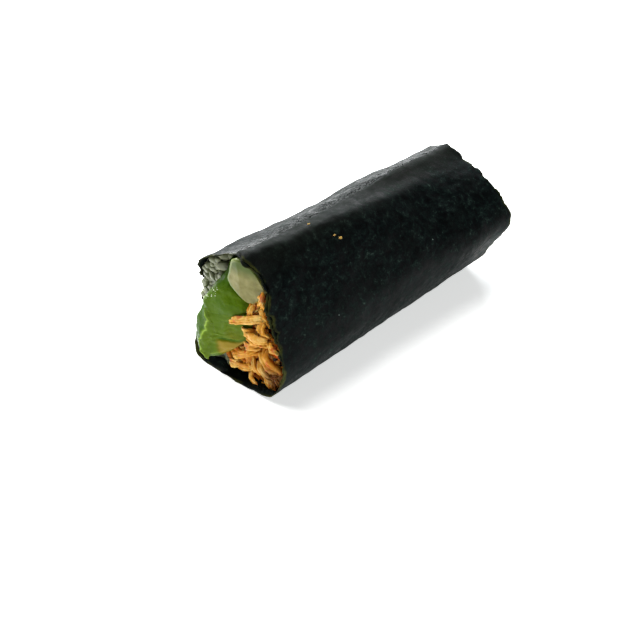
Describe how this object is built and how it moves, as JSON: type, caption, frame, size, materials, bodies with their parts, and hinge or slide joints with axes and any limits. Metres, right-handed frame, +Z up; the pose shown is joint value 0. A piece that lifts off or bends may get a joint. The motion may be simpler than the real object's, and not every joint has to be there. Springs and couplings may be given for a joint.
{
  "type": "temaki hand roll",
  "caption": "Nori hand roll lying on its side, rolled round rice, avocado slices, a cucumber baton and shredded surimi, open at its ends.",
  "frame": {"origin": "centre of the roll's box, on the surface that it lies on", "axes": "+X along the roll away from the end whose filling stands out most, +Y to the left seen from that end, +Z up"},
  "size_m": [0.1098, 0.0446, 0.047],
  "materials": {
    "nori": "dry roasted seaweed sheet, very dark green, finely mottled, satin",
    "rice": "cooked white rice, moist, slightly translucent",
    "avocado": "ripe avocado flesh, green at the outside and pale yellow inside, wet",
    "cucumber": "cut cucumber flesh, pale green, moist",
    "surimi": "shredded surimi in spiced mayonnaise, pale orange, moist"
  },
  "bodies": {
    "root": {"nori": "nori", "rice": "rice", "avocado_upper": "avocado", "avocado_lower": "avocado", "cucumber": "cucumber", "surimi": "surimi"}
  },
  "joints": []
}
